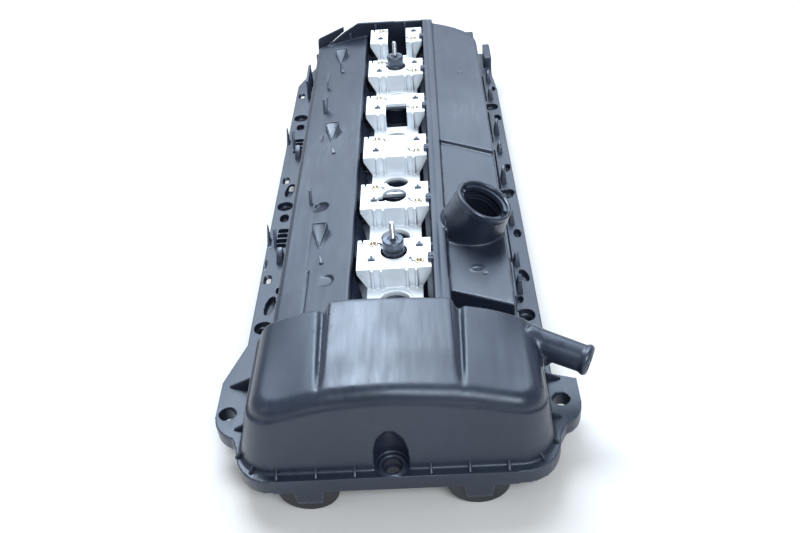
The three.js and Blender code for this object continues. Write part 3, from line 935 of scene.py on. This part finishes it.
def stud(node, material):
    """A stud whose upper end carries a helical thread."""
    middle, bottom, top = extent(node)
    sides, pitch, shank, thread_depth = 24, 0.8, 2.48, 0.46
    thread_start = top - 15.5
    levels = [bottom, bottom + 1, thread_start - 0.6]
    levels += list(np.arange(thread_start, top - 0.9, 0.16)) + [top - 0.8, top - 0.3, top]
    rings = []
    for z in levels:
        ring = []
        for i in range(sides):
            angle = math.tau * i / sides
            radius = shank
            if thread_start <= z < top - 0.85:
                turn = (z / pitch - i / sides) % 1
                radius = shank - thread_depth * abs(2 * turn - 1)
            elif z >= top - 0.85:
                radius = 1.5 + 0.55 * (top - z) / 0.8
            ring.append((middle.x + radius * math.cos(angle), middle.y + radius * math.sin(angle), z))
        rings.append(ring)
    return place(loft(rings), f"{node}_threaded", material, "steel", node)


def spacer(node, material):
    """A sleeve under a stud, with a groove above the plate and a recessed top."""
    low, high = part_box(node)
    middle, bottom, top = extent(node)
    radius = (high.x - low.x) / MM / 2 - 0.02
    outline = [
        (radius - 0.5, bottom), (radius, bottom + 0.6), (radius, PLATE_TOP + 1.5),
        (radius - 0.5, PLATE_TOP + 2.1), (radius - 0.5, PLATE_TOP + 3.4), (radius, PLATE_TOP + 4),
        (radius, top - 1), (radius - 0.9, top),
        (4.6, top), (4.1, top - 0.9), (2.95, top - 0.9), (2.95, bottom),
    ]
    sleeve = revolved(middle.x, middle.y, outline, 64)
    return place(sleeve, f"{node}_turned", material, "dark_steel", node)


def seal(node, material):
    body = mould(drawing_copy(node), SEAL_VOXEL, [(4, None)], SEAL_FACES)
    return place(body, f"{node}_moulded", material, "seal_rubber", node)


def floor(material):
    size = 40.0
    corners = [(-size, -size, 0), (size, -size, 0), (size, size, 0), (-size, size, 0)]
    ground = new_object("floor", corners, [(0, 1, 2, 3)])
    ground.data.materials.append(material)


def pale_floor():
    nodes = Nodes("pale_floor")
    nodes.set(Base_Color=(0.70, 0.68, 0.65, 1), Roughness=0.6, Specular_IOR_Level=0.2)
    return nodes.material


# ---- camera and light ----

CAMERA_PLACE = (0.0330, -0.7616, 0.5604)
CAMERA_DOWN, CAMERA_LEFT, CAMERA_ROLL = 38.42, 3.14, 4.99
LENS = 39.57


def camera():
    data = bpy.data.cameras.new("camera")
    data.lens = LENS
    data.sensor_width = 36.0
    piece = bpy.data.objects.new("camera", data)
    bpy.context.scene.collection.objects.link(piece)
    turn = (
        Matrix.Rotation(math.radians(CAMERA_LEFT), 4, "Z")
        @ Matrix.Rotation(math.radians(90 - CAMERA_DOWN), 4, "X")
        @ Matrix.Rotation(math.radians(-CAMERA_ROLL), 4, "Z")
    )
    piece.matrix_world = Matrix.Translation(CAMERA_PLACE) @ turn
    bpy.context.scene.camera = piece


def softbox(name, place_at, target, size, radiance, colour=(1, 1, 1)):
    data = bpy.data.lights.new(name, "AREA")
    data.shape = "RECTANGLE"
    data.size, data.size_y = size
    data.energy = radiance * math.pi * size[0] * size[1]
    data.color = colour
    piece = bpy.data.objects.new(name, data)
    bpy.context.scene.collection.objects.link(piece)
    piece.location = place_at
    piece.rotation_euler = (Vector(target) - Vector(place_at)).to_track_quat("-Z", "Y").to_euler()


def studio():
    world = bpy.data.worlds.new("studio")
    world.use_nodes = True
    world.node_tree.nodes["Background"].inputs[0].default_value = (0.82, 0.90, 1.0, 1)
    world.node_tree.nodes["Background"].inputs[1].default_value = 0.42
    bpy.context.scene.world = world
    bpy.context.scene.view_settings.view_transform = "Standard"
    softbox("back_softbox", (0, 1.75, 1.75), (0, 0, 0.05), (3.4, 1.9), 3.2, (0.76, 0.87, 1.0))
    softbox("top_strip", (-0.22, 0.55, 1.68), (-0.1, -0.25, 0.08), (0.9, 0.62), 14.0, (0.84, 0.92, 1.0))
    softbox("front_softbox", (0.5, -1.6, 1.6), (0, -0.1, 0.05), (1.2, 0.8), 10.0, (0.88, 0.94, 1.0))
    softbox("left_softbox", (-1.5, -0.9, 0.9), (0, 0, 0.05), (0.3, 0.8), 2.0, (0.85, 0.88, 1.0))


camera()
studio()
floor(pale_floor())

plastic = black_plastic()
rubber = seal_rubber()
aluminium = cast_aluminium()
brass_finish = brass()
steel = plated_steel("plated_steel", (0.50, 0.52, 0.54, 1), (0.75, 0.76, 0.78, 1), 0.22, 0.38)
dark_steel = plated_steel("dark_steel", (0.06, 0.07, 0.09, 1), (0.17, 0.19, 0.23, 1), 0.34, 0.50)

cover(plastic)
for unit in UNITS:
    coil_plate(unit, aluminium)

trims(plastic)
seal("perimeter_gasket", rubber)
for name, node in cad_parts.items():
    if name.startswith("insert_"):
        insert_ring(name, brass_finish)
    elif name.startswith("trim_stud"):
        stud(name, steel)
    elif name.startswith("trim_spacer"):
        spacer(name, dark_steel)
    elif name.startswith("plug_well_gasket"):
        seal(name, rubber)
    elif name.endswith("_baffle"):
        node.data.materials.clear()
        node.data.materials.append(plastic)
